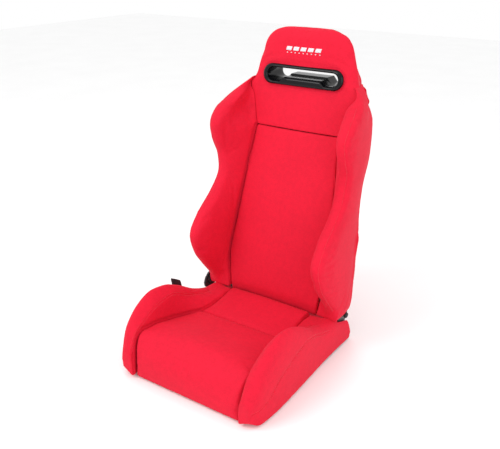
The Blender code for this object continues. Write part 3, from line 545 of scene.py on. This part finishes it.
def puff(pieces, tree):
    """Swells every piece by cloth simulation, held along its seams and out of sight, by at most its own cap."""
    before = {}
    for piece, _, hidden in pieces:
        before[piece.name] = coordinates(piece.data)
        held = []
        for i, point in enumerate(before[piece.name]):
            x, y, z = Vector(point) - SHIFT
            if tree.find(point)[2] < HELD_BESIDE_SEAM or hidden(abs(x), y, z):
                held.append(i)
        piece.vertex_groups.new(name="held").add(held, 1.0, "REPLACE")
        cloth = piece.modifiers.new("puff", "CLOTH")
        cloth.settings.vertex_group_mass = "held"
        cloth.settings.quality = 4
        cloth.settings.use_pressure = True
        cloth.settings.uniform_pressure_force = CLOTH_PRESSURE
        cloth.settings.effector_weights.gravity = 0
    for step in range(1, CLOTH_STEPS + 1):
        bpy.context.scene.frame_set(step)
    graph = bpy.context.evaluated_depsgraph_get()
    for piece, cap, _ in pieces:
        moved = coordinates(piece.evaluated_get(graph).data) - before[piece.name]
        size = np.linalg.norm(moved, axis=1, keepdims=True)
        moved *= cap * np.tanh(size / cap) / np.maximum(size, 1e-9)
        piece.modifiers.clear()
        piece.vertex_groups.clear()
        piece.data.vertices.foreach_set("co", (before[piece.name] + moved).ravel())
        piece.data.update()
    bpy.context.scene.frame_set(1)


def refine(piece):
    """One level of subdivision, applied."""
    change = piece.modifiers.new("smooth", "SUBSURF")
    change.levels = 1
    change.use_limit_surface = False
    apply_modifiers(piece)


def apply_modifiers(piece):
    """Makes what the modifiers give the piece's own smooth-shaded mesh."""
    graph = bpy.context.evaluated_depsgraph_get()
    made = bpy.data.meshes.new_from_object(piece.evaluated_get(graph))
    piece.modifiers.clear()
    old = piece.data
    piece.data = made
    bpy.data.meshes.remove(old)
    piece.data.name = piece.name
    piece.data.shade_smooth()


def sew(piece, lines):
    """Presses the seams into the fabric, gathers it a little beside them, and lets the foam vary."""
    co, normal = coordinates(piece.data), normals(piece.data)
    push = np.array([0.0006 * noise.noise(point * 14.0) + 0.0002 * noise.noise(point * 45.0)
                     for point in map(Vector, co)])
    for number, (depth, width, knots) in enumerate(lines):
        places = np.array(knots)
        near = np.nonzero(((co > places.min(0) - 0.02) & (co < places.max(0) + 0.02)).all(axis=1))[0]
        for some in np.array_split(near, len(near) // 4000 + 1):
            gaps = ((co[some, None, :] - places[None]) ** 2).sum(axis=2)
            closest = gaps.argmin(axis=1)
            far = np.sqrt(gaps[np.arange(len(some)), closest])
            run = closest * 0.42 + number * 7.0
            ripple = np.sin(run) * np.sin(0.37 * run + 1.0) + 0.5 * np.sin(1.9 * run)
            push[some] -= depth * np.exp(-(far / width) ** 2)
            push[some] += 0.00022 * ripple * np.exp(-far / 0.008) * np.minimum(far / 0.003, 1.0)
    co += normal * push[:, None]
    piece.data.vertices.foreach_set("co", co.ravel())
    piece.data.update()


def block(name, low, high):
    """A box-shaped cutter between two corners in seat coordinates."""
    bm = bmesh.new()
    bmesh.ops.create_cube(bm, size=1)
    size, middle = Vector(high) - Vector(low), (Vector(high) + Vector(low)) / 2
    for v in bm.verts:
        v.co = Vector(v.co[i] * abs(size[i]) + middle[i] for i in range(3)) + SHIFT
    return linked(name, bm)


def cut(piece, tools):
    for tool in tools:
        change = piece.modifiers.new(tool.name, "BOOLEAN")
        change.operation = "DIFFERENCE"
        change.solver = "MANIFOLD"
        change.object = tool
    apply_modifiers(piece)
    for tool in tools:
        bpy.data.objects.remove(tool, do_unlink=True)


# The headrest's slot
def slot_outline(half_wide, half_high, depth, rise, steps=15):
    """A long round-ended outline with a sill, parallel to the headrest's face, at a level depth behind it."""
    straight = half_wide - half_high
    right = [(straight + half_high * math.cos(a), half_high * math.sin(a))
             for a in np.linspace(-math.pi / 2, math.pi / 2, steps)]
    top, foot = SILL_HALF
    sill = [(-foot, -half_high), (-top, rise - half_high), (top, rise - half_high), (foot, -half_high)]
    corners = right + [(-x, -h) for x, h in right] + sill
    flat = []
    for (x0, h0), (x1, h1) in zip(corners, corners[1:] + corners[:1]):
        stretches = 8 if math.dist((x0, h0), (x1, h1)) > 0.012 else 1
        flat += [(x0 + (x1 - x0) * t, h0 + (h1 - h0) * t) for t in np.linspace(0, 1, stretches, endpoint=False)]
    mouth = face_y(SLOT_Z)
    return [(x, mouth + depth + h * math.sin(SLOT_TILT), SLOT_Z + h * math.cos(SLOT_TILT)) for x, h in flat]


def slot_cutter(name, half_wide, half_high, start, end):
    bm = bmesh.new()
    tube(bm, [[Vector(point) + SHIFT for point in slot_outline(half_wide, half_high, depth, 0.0)]
              for depth in (start, end)])
    return linked(name, bm)


def bezel_depths():
    """Depths of the front flange, the joint between the two sleeves, and the rear flange."""
    rear = back_depth(SLOT_Z) - 0.001
    return -0.007, (rear - 0.007) / 2, rear


def make_bezel(name, flange, end, sill):
    """A glossy moulding: sleeve, rolled inner lip, dished flange and rounded rim."""
    outward = -1 if end > flange else 1
    wide, high = TUNNEL_HALF
    # How far each loop stands out from the tunnel across and up, its depth, and its share of the sill
    profile = [(0.0, 0.0, end, 1.0), (0.0, 0.0, flange - outward * 0.020, 1.0),
               (0.0, 0.0, flange - outward * 0.004, 1.0), (0.0006, 0.0006, flange + outward * 0.0015, 1.0),
               (0.0020, 0.0020, flange + outward * 0.0045, 1.0), (0.0036, 0.0034, flange + outward * 0.0062, 0.93),
               (0.0054, 0.0050, flange + outward * 0.0068, 0.80), (0.0080, 0.0062, flange + outward * 0.0066, 0.35),
               (0.0115, 0.0080, flange + outward * 0.0060, 0.0), (0.0145, 0.0095, flange + outward * 0.0048, 0.0),
               (0.0168, 0.0108, flange + outward * 0.0030, 0.0), (0.0182, 0.0117, flange + outward * 0.0010, 0.0)]
    loops = [slot_outline(wide + a, high + b, depth, sill * part) for a, b, depth, part in profile]
    under = flange - outward * 0.0022
    outside = (wide + 0.0022, high + 0.0022)
    loops += [slot_outline(*BEZEL_HALF, under, 0.0), slot_outline(*outside, under, 0.0),
              slot_outline(*outside, end, 0.0)]
    bm = bmesh.new()
    tube(bm, [[Vector(point) + SHIFT for point in loop] for loop in loops], around=True)
    made = linked(name, bm)
    made.data.shade_smooth()
    made.data.set_sharp_from_angle(angle=math.radians(38))
    return made


# Label
def make_label():
    """A folded woven label on the right bolster's outer side: two plies that part a little at their fold."""
    y_from, y_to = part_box("side_tag")[0][1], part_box("side_tag")[1][1]
    loops = []
    for y in np.linspace(y_from + 0.002, y_to - 0.002, 20):
        root = y - SHIFT.y
        x, z = -(bolster_bulge(root) - 0.013), bolster_crest(root) - 0.010
        bow = 0.0012 * math.sin((y - y_from) * 95.0)
        profile = [(0.0022, 0.0), (0.0012, 0.010), (-0.0002, 0.022), (-0.0018, 0.0262), (-0.0036, 0.0270),
                   (-0.0052, 0.0258), (-0.0060, 0.022), (-0.0046, 0.010), (-0.0034, 0.0)]
        loops.append([(x + dx + bow * dz / 0.027 - 0.12 * dz, y, z + dz) for dx, dz in profile])
    bm = bmesh.new()
    tube(bm, loops)
    label = linked("side_label", bm)
    label.data.shade_smooth()
    label.data.set_sharp_from_angle(angle=math.radians(50))
    label.data.materials.append(FINISHES["tag_fabric"])
    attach(label, "base")
    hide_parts("side_tag")


# Thread
def surface_of(pieces):
    """A search tree over the finished fabric of several pieces."""
    points, faces, start = [], [], 0
    for piece in pieces:
        points += [v.co.copy() for v in piece.data.vertices]
        faces += [[start + i for i in face.vertices] for face in piece.data.polygons]
        start = len(points)
    return BVHTree.FromPolygons(points, faces)


def thread(bm, middle, direction, normal, length, radius, rise=0.3):
    """One stitch: a short rounded strand lying on the fabric, a little higher in its middle."""
    side = direction.cross(normal).normalized()
    loops = []
    for t, thickness in ((-0.5, 0.25), (-0.42, 0.85), (-0.15, 1.0), (0.15, 1.0), (0.42, 0.85), (0.5, 0.25)):
        thick = radius * thickness
        lift = radius * (rise + 0.5 * (1 - (2 * t) ** 2))
        centre = middle + direction * length * t + normal * (lift - (0.9 * radius if abs(t) == 0.5 else 0))
        loops.append([centre + (side * math.cos(a) + normal * math.sin(a)) * thick
                      for a in (0.0, 1.047, 2.094, 3.142, 4.189, 5.236)])
    tube(bm, loops)


def thread_object(name, bm, finish, body):
    made = linked(name, bm)
    made.data.shade_smooth()
    made.data.materials.append(finish)
    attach(made, body)


def stitch(name, body, surface, finish):
    """Every row of stitches on one body, as one object that lies on its fabric."""
    bm = bmesh.new()
    for rides_on, points, _, _, offsets in seam_lines():
        if rides_on != body:
            continue
        for offset in offsets:
            for place, direction in along(points, STITCH_PITCH):
                found, normal, _, _ = surface.find_nearest(place)
                target = found + direction.cross(normal).normalized() * offset
                found, normal, _, _ = surface.find_nearest(target)
                lie = (direction - normal * direction.dot(normal)).normalized()
                thread(bm, found, lie, normal, STITCH_LENGTH, THREAD_RADIUS)
    thread_object(name, bm, finish, body)


def embroider(name, surface, finish):
    """A plain decoration of satin stitch on the headrest: slanted bars over a row of short dashes."""
    bm = bmesh.new()
    centre_z = 0.9345

    def strand(x, z, slant, length, radius):
        start = Vector((x, face_y(z) - 0.05, z)) + SHIFT
        found, normal, _, _ = surface.ray_cast(start, Vector((0, 1, 0)))
        lie = Vector((slant, 0.0, 1.0))
        lie = (lie - normal * lie.dot(normal)).normalized()
        thread(bm, found, lie, normal, length, radius, 0.6)

    for bar in range(5):
        left = -0.062 + bar * 0.0262
        for step in range(22):
            strand(left + step * 0.00088, centre_z, 0.32, 0.0135, 0.00055)
    for dash in range(9):
        for step in range(5):
            strand(-0.0605 + dash * 0.0146 + step * 0.00080, centre_z - 0.0125, 0.0, 0.0030, 0.00045)
    thread_object(name, bm, finish, "backrest")


# Materials
class Shader:
    """A node material in the making, with short names for what the finishes below need."""

    def __init__(self, name, colour, roughness, **constants):
        self.material = bpy.data.materials.new(name)
        self.material.use_nodes = True
        self.tree = self.material.node_tree
        self.main = self.tree.nodes["Principled BSDF"]
        self.main.inputs["Base Color"].default_value = (*colour, 1)
        self.main.inputs["Roughness"].default_value = roughness
        for socket, value in constants.items():
            self.main.inputs[socket.replace("_", " ")].default_value = value
        self.place = self.tree.nodes.new("ShaderNodeTexCoord").outputs["Object"]

    def texture(self, kind, scale, output=0, **settings):
        node = self.tree.nodes.new(kind)
        for key, value in settings.items():
            if key in node.inputs:
                node.inputs[key].default_value = value
            else:
                setattr(node, key, value)
        node.inputs["Scale"].default_value = scale
        self.tree.links.new(self.place, node.inputs["Vector"])
        return node.outputs[output]

    def ramp(self, value, *stops):
        """A colour ramp through (position, colour) stops."""
        node = self.tree.nodes.new("ShaderNodeValToRGB")
        elements = node.color_ramp.elements
        while len(elements) < len(stops):
            elements.new(0.5)
        for element, (position, colour) in zip(elements, stops):
            element.position = position
            element.color = (*colour, 1) if len(colour) == 3 else colour
        self.tree.links.new(value, node.inputs["Fac"])
        return node.outputs["Color"]

    def math(self, operation, first, second):
        node = self.tree.nodes.new("ShaderNodeMath")
        node.operation = operation
        for socket, value in zip(node.inputs, (first, second)):
            if isinstance(value, (int, float)):
                socket.default_value = value
            else:
                self.tree.links.new(value, socket)
        return node.outputs[0]

    def mix(self, factor, first, second, blend="MIX"):
        node = self.tree.nodes.new("ShaderNodeMix")
        node.data_type = "RGBA"
        node.blend_type = blend
        for key, value in (("Factor", factor), ("A", first), ("B", second)):
            socket = node.inputs[key]
            if isinstance(value, (int, float)):
                socket.default_value = value
            elif isinstance(value, tuple):
                socket.default_value = (*value, 1)
            else:
                self.tree.links.new(value, socket)
        return node.outputs["Result"]

    def set(self, socket, value):
        self.tree.links.new(value, self.main.inputs[socket])

    def bump(self, height, strength, distance):
        node = self.tree.nodes.new("ShaderNodeBump")
        node.inputs["Strength"].default_value = strength
        node.inputs["Distance"].default_value = distance
        self.tree.links.new(height, node.inputs["Height"])
        self.set("Normal", node.outputs["Normal"])


def knit(name, light, dark, scale, sheen):
    """Fine stretch knit: loops about a millimetre apart, a soft nap, and slow changes of shade."""
    made = Shader(name, light, 0.82, Sheen_Weight=sheen, Sheen_Roughness=0.45, Sheen_Tint=(1.0, 0.20, 0.28, 1),
                  Specular_IOR_Level=0.22)
    loops = made.texture("ShaderNodeTexVoronoi", scale, 0)
    fuzz = made.texture("ShaderNodeTexNoise", scale * 2.3, 0, Detail=3.0)
    clouds = made.texture("ShaderNodeTexNoise", 7.0, 0, Detail=4.0, Roughness=0.6)
    streaks = made.texture("ShaderNodeTexNoise", 70.0, 0, Detail=2.0)
    weave = made.ramp(loops, (0.05, light), (0.75, dark))
    shade = made.ramp(clouds, (0.30, tuple(0.88 * c for c in light)), (0.70, light))
    colour = made.mix(0.45, weave, shade)
    fleck = made.ramp(streaks, (0.35, (0.90, 0.90, 0.90)), (0.65, (1.0, 1.0, 1.0)))
    made.set("Base Color", made.mix(0.6, colour, fleck, "MULTIPLY"))
    made.set("Roughness", made.math("ADD", made.math("MULTIPLY", fuzz, 0.2), 0.70))
    height = made.math("ADD", made.math("MULTIPLY", loops, -0.8), made.math("MULTIPLY", fuzz, 0.45))
    made.bump(height, 0.35, 0.0006)
    return made.material


def yarn(name, colour, dark):
    """Twisted sewing thread."""
    made = Shader(name, colour, 0.55, Sheen_Weight=0.25)
    twist = made.texture("ShaderNodeTexNoise", 1400.0, 0, Detail=2.0)
    made.set("Base Color", made.ramp(twist, (0.35, dark), (0.65, colour)))
    made.bump(twist, 0.4, 0.0002)
    return made.material


def moulded(name, colour, roughness, grain, coat):
    """Black plastic: a moulded grain, with scuffs that change its gloss."""
    made = Shader(name, colour, roughness, Coat_Weight=coat, Coat_Roughness=0.08, Specular_IOR_Level=0.22)
    pits = made.texture("ShaderNodeTexVoronoi", 900.0, 0)
    scuffs = made.texture("ShaderNodeTexNoise", 38.0, 0, Detail=6.0, Roughness=0.7)
    made.set("Roughness", made.ramp(scuffs, (0.35, (roughness,) * 3), (0.75, (min(roughness * 1.6, 1.0),) * 3)))
    made.set("Base Color", made.ramp(scuffs, (0.3, colour), (0.8, tuple(c * 1.7 for c in colour))))
    made.bump(pits, grain, 0.0003)
    return made.material


def powder_coat():
    """Satin black powder coat on steel, with its fine orange peel and scattered rubbed patches."""
    made = Shader("powder_coat", (0.022, 0.022, 0.024), 0.42, Coat_Weight=0.15, Coat_Roughness=0.25)
    peel = made.texture("ShaderNodeTexNoise", 520.0, 0, Detail=1.0)
    rub = made.texture("ShaderNodeTexNoise", 24.0, 0, Detail=8.0, Roughness=0.75)
    made.set("Base Color", made.ramp(rub, (0.45, (0.018, 0.018, 0.020)), (0.80, (0.060, 0.060, 0.062))))
    made.set("Roughness", made.ramp(rub, (0.4, (0.38,) * 3), (0.75, (0.60,) * 3)))
    made.bump(peel, 0.25, 0.0004)
    return made.material


def zinc():
    """Bright zinc plate, with its faint grain and handling marks."""
    made = Shader("zinc_plate", (0.60, 0.60, 0.57), 0.32, Metallic=1.0)
    marks = made.texture("ShaderNodeTexNoise", 60.0, 0, Detail=7.0, Roughness=0.7)
    grain = made.texture("ShaderNodeTexNoise", 900.0, 0, Detail=2.0)
    made.set("Base Color", made.ramp(marks, (0.3, (0.42, 0.42, 0.40)), (0.7, (0.68, 0.68, 0.64))))
    made.set("Roughness", made.ramp(marks, (0.3, (0.26,) * 3), (0.75, (0.48,) * 3)))
    made.bump(grain, 0.12, 0.0002)
    return made.material


# Studio
def make_studio():
    camera = bpy.data.cameras.new("camera")
    camera.lens = 49.03
    camera.sensor_width = 36
    view = bpy.data.objects.new("camera", camera)
    view.location = (1.0946, -1.6146, 1.2528)
    view.rotation_euler = (math.radians(67.275), 0, math.radians(34.482))
    bpy.context.scene.collection.objects.link(view)
    bpy.context.scene.camera = view
    bpy.context.scene.view_settings.view_transform = "Standard"

    world = bpy.context.scene.world or bpy.data.worlds.new("world")
    bpy.context.scene.world = world
    world.use_nodes = True
    background = world.node_tree.nodes["Background"]
    background.inputs["Color"].default_value = (1, 1, 1, 1)
    background.inputs["Strength"].default_value = 1.0
    aim = Vector((0, 0, 0.45))
    for name, place, size, power in (("key", (-1.2, -2.2, 2.8), 1.6, 38), ("fill", (2.4, -1.4, 1.6), 2.0, 24),
                                     ("top", (0.1, 0.3, 3.0), 2.0, 6)):
        lamp = bpy.data.lights.new(name, "AREA")
        lamp.size = size
        lamp.energy = power
        obj = bpy.data.objects.new(name, lamp)
        obj.location = place
        obj.rotation_euler = (aim - Vector(place)).to_track_quat("-Z", "Y").to_euler()
        bpy.context.scene.collection.objects.link(obj)

    bpy.ops.mesh.primitive_plane_add(size=16)
    floor = bpy.context.object
    floor.name = "floor"
    finish = Shader("floor", (0.95, 0.95, 0.95), 0.9)
    finish.set("Base Color", finish.ramp(finish.texture("ShaderNodeTexNoise", 3.0, 0),
                                         (0.3, (0.94, 0.94, 0.94)), (0.7, (0.96, 0.96, 0.96))))
    floor.data.materials.append(finish.material)


make_studio()
RED = knit("red_knit", (0.80, 0.009, 0.041), (0.56, 0.003, 0.017), 620.0, 0.12)
RED_THREAD = yarn("red_thread", (0.80, 0.012, 0.035), (0.48, 0.004, 0.014))
WHITE_THREAD = yarn("white_thread", (0.85, 0.85, 0.87), (0.62, 0.62, 0.66))
GLOSS = moulded("gloss_black", (0.003, 0.003, 0.004), 0.12, 0.02, 0.0)
BLACK = moulded("grained_black", (0.018, 0.018, 0.020), 0.42, 0.25, 0.0)
FINISHES = {"frame_steel": powder_coat(), "bright_steel": zinc(), "black_plastic": BLACK, "gloss_plastic": GLOSS,
            "tag_fabric": knit("tag_weave", (0.020, 0.020, 0.022), (0.006, 0.006, 0.007), 900.0, 0.2)}
for subpart in frame["record"]["subparts"]:
    finish = FINISHES.get(subpart["material_slot"])
    if finish:
        node = frame["nodes"][subpart["node"]]
        node.data.materials.clear()
        node.data.materials.append(finish)


# Points held still while their piece swells (hidden), or while its edges are rounded (edge)
def never(x, y, z):
    return False


def base_hidden(x, y, z):
    return z < 0.010 or x < crease_half(y) + 0.003 or y > 0.16 or y < BASE_FRONT_Y + 0.002


def cushion_hidden(x, y, z):
    return z < 0.010 or x > crease_half(y) - 0.003 or y > 0.166 or abs(y - PANEL_SEAM_Y) < 0.003


def wing_hidden(x, y, z):
    return x < inner_half(z) + 0.003 or z < 0.132 or z > 0.815 or y > face_y(z) + back_depth(z) - 0.03


def head_hidden(x, y, z):
    return (z < INSERT_TOP + 0.004 or y > face_y(z) + 0.03 or (z < 0.835 and x > yoke_half(z) - 0.004)
            or (abs(z - SLOT_Z) < 0.045 and x < 0.160))


def insert_hidden(x, y, z):
    return z > INSERT_TOP - 0.003 or z < 0.125 or x > insert_half(z) - 0.003 or y > face_y(z) + 0.012


def yoke_edge(x, y, z):
    """The edges where the yoke lies flush with the wings."""
    return 0.688 < z < 0.8345 and abs(x - yoke_half(z)) < 0.0022


def insert_edge(x, y, z):
    return z > INSERT_TOP - 0.001 and y < face_y(z) + 0.004


def head_edge(x, y, z):
    return yoke_edge(x, y, z) or z < INSERT_TOP + 0.001


cushion_front = make_cushion("cushion_front_cover", CUSHION_FRONT_Y, PANEL_SEAM_Y - PIECE_GAP, 0.004)
cushion_rear = make_cushion("cushion_rear_cover", PANEL_SEAM_Y + PIECE_GAP, CUSHION_REAR_Y, 0.003)
# Piece, the CAD node that it stands for, body, passes of rounding, points kept sharp, most swell, points held
COVERS = [(cushion_front, "cushion_front", "base", 4, never, 0.007, cushion_hidden),
          (cushion_rear, "cushion_rear", "base", 2, never, 0.005, cushion_hidden),
          (make_bolster(1), "thigh_bolster_left", "base", 4, never, 0.006, base_hidden),
          (make_bolster(-1), "thigh_bolster_right", "base", 4, never, 0.006, base_hidden),
          (make_insert(), "back_insert", "backrest", 2, insert_edge, 0.007, insert_hidden),
          (make_wing(1), "back_wing_left", "backrest", 3, yoke_edge, 0.006, wing_hidden),
          (make_wing(-1), "back_wing_right", "backrest", 3, yoke_edge, 0.006, wing_hidden),
          (make_headrest(), "headrest_pad", "backrest", 2, head_edge, 0.004, head_hidden),
          (make_rear_panel(), "rear_cover", "backrest", 2, never, 0.0, never)]
SEAMS = [(depth, width, [place for place, _ in along(points, KNOT_PITCH)])
         for _, points, depth, width, _ in seam_lines()]
for piece, _, _, passes, keep, _, _ in COVERS:
    settle(piece, passes, keep)
knots = [place for _, _, line in SEAMS for place in line]
tree = KDTree(len(knots))
for number, place in enumerate(knots):
    tree.insert(place, number)
tree.balance()
puff([(piece, swell, hidden) for piece, _, _, _, _, swell, hidden in COVERS if swell], tree)
for piece, *_ in COVERS:
    refine(piece)
    sew(piece, SEAMS)

base_surface = surface_of([piece for piece, _, body, *_ in COVERS if body == "base"])
back_surface = surface_of([piece for piece, _, body, *_ in COVERS if body == "backrest"])
stitch("base_stitching", "base", base_surface, RED_THREAD)
stitch("back_stitching", "backrest", back_surface, RED_THREAD)
embroider("headrest_embroidery", back_surface, WHITE_THREAD)

by_node = {node: piece for piece, node, *_ in COVERS}
for side in (1, -1):
    tools = [block("frame_space", *FRAME_SPACE)]
    for low, high in HINGE_SPACES:
        tools.append(block("recliner_space", (side * low[0], *low[1:]), (side * high[0], *high[1:])))
    cut(by_node[f"thigh_bolster_{sided(side)}"], tools)
for node in ("cushion_front", "cushion_rear"):
    cut(by_node[node], [block("frame_space", *FRAME_SPACE)])
front, joint, rear = bezel_depths()
sleeve = (TUNNEL_HALF[0] + 0.003, TUNNEL_HALF[1] + 0.003)
for node in ("headrest_pad", "rear_cover"):
    cut(by_node[node], [slot_cutter("slot", *sleeve, -0.2, 0.3)])

for piece, node, body, *_ in COVERS:
    piece.data.materials.clear()
    piece.data.materials.append(RED)
    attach(piece, body)
    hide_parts(node)

trims = (("bezel_front_trim", "bezel_front", front, joint - 0.0002, SILL_RISE[0]),
         ("bezel_rear_trim", "bezel_rear", rear, joint + 0.0002, SILL_RISE[1]))
for name, node, flange, end, sill in trims:
    bezel = make_bezel(name, flange, end, sill)
    bezel.data.materials.append(GLOSS)
    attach(bezel, "backrest")
    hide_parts(node)

make_label()
